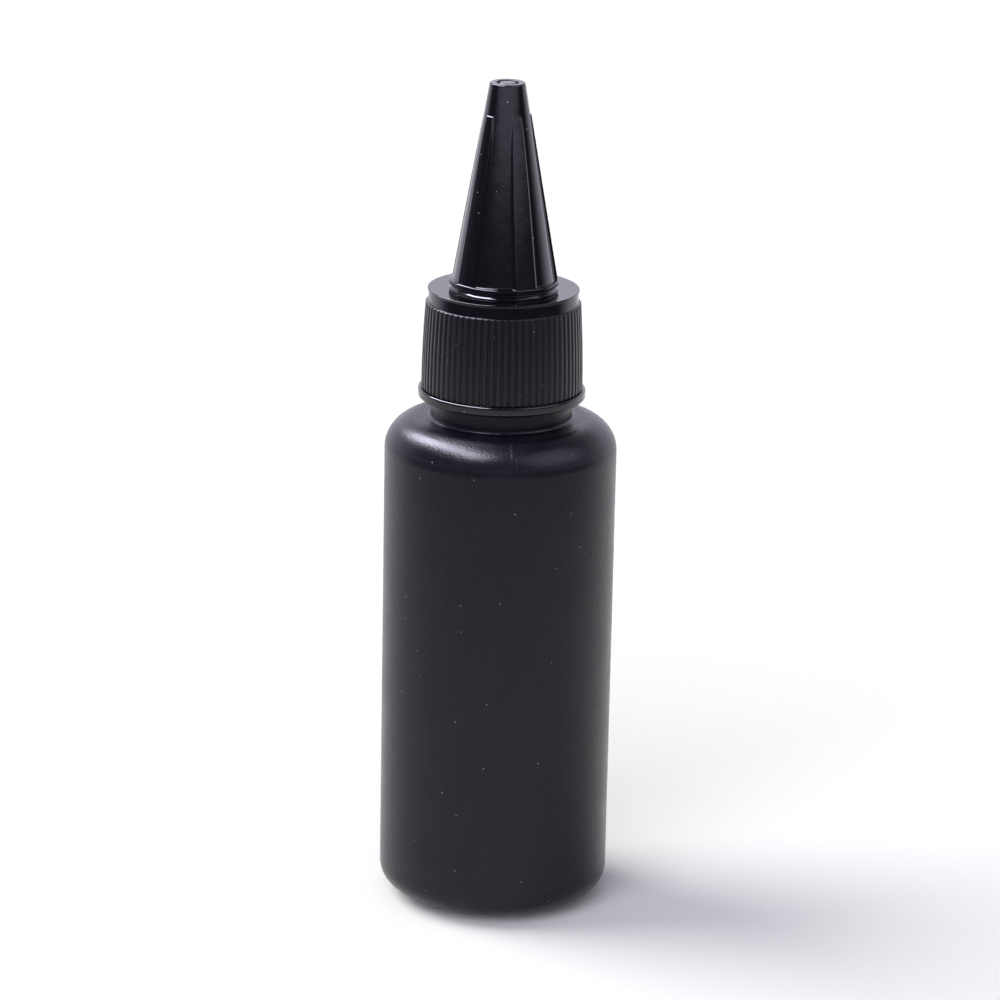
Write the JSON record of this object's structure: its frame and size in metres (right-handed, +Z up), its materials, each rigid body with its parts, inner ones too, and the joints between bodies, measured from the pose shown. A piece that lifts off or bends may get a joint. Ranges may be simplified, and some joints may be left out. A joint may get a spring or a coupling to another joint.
{
  "type": "ink bottle",
  "caption": "Cylindrical squeeze bottle for ink with a knurled screw cap and a pointed, ribbed nozzle that opens upward.",
  "frame": {"origin": "centre of the standing ring, on the surface that the bottle stands on", "axes": "+Z up along the axis of the bottle and its closure; -Y is the front"},
  "size_m": [0.033, 0.033, 0.12],
  "materials": {
    "bottle_plastic": "satin blow-moulded polyethylene, black",
    "closure_plastic": "glossy injection-moulded polypropylene, black",
    "liner_foam": "expanded polyethylene foam, off-white"
  },
  "bodies": {
    "bottle": {"bottle": "bottle_plastic"},
    "liner": {"sealing_liner": "liner_foam"},
    "cap": {"screw_cap": "closure_plastic"},
    "nozzle": {"twist_nozzle": "closure_plastic"}
  },
  "joints": [
    {"name": "cap_lift", "type": "slide", "parent": "bottle", "child": "liner", "axis": [0, 0, 1], "range_m": [0, 0.0147]},
    {"name": "cap_turn", "type": "hinge", "parent": "liner", "child": "cap", "pos_m": [0, 0, 0.088], "axis": [0, 0, 1], "range_deg": [0, 1656]},
    {"name": "nozzle_lift", "type": "slide", "parent": "cap", "child": "nozzle", "axis": [0, 0, 1], "range_m": [0, 0.0026]}
  ],
  "couplings": [
    {"joint": "cap_lift", "follows": "cap_turn", "m_per_rad": 0.00050532}
  ]
}
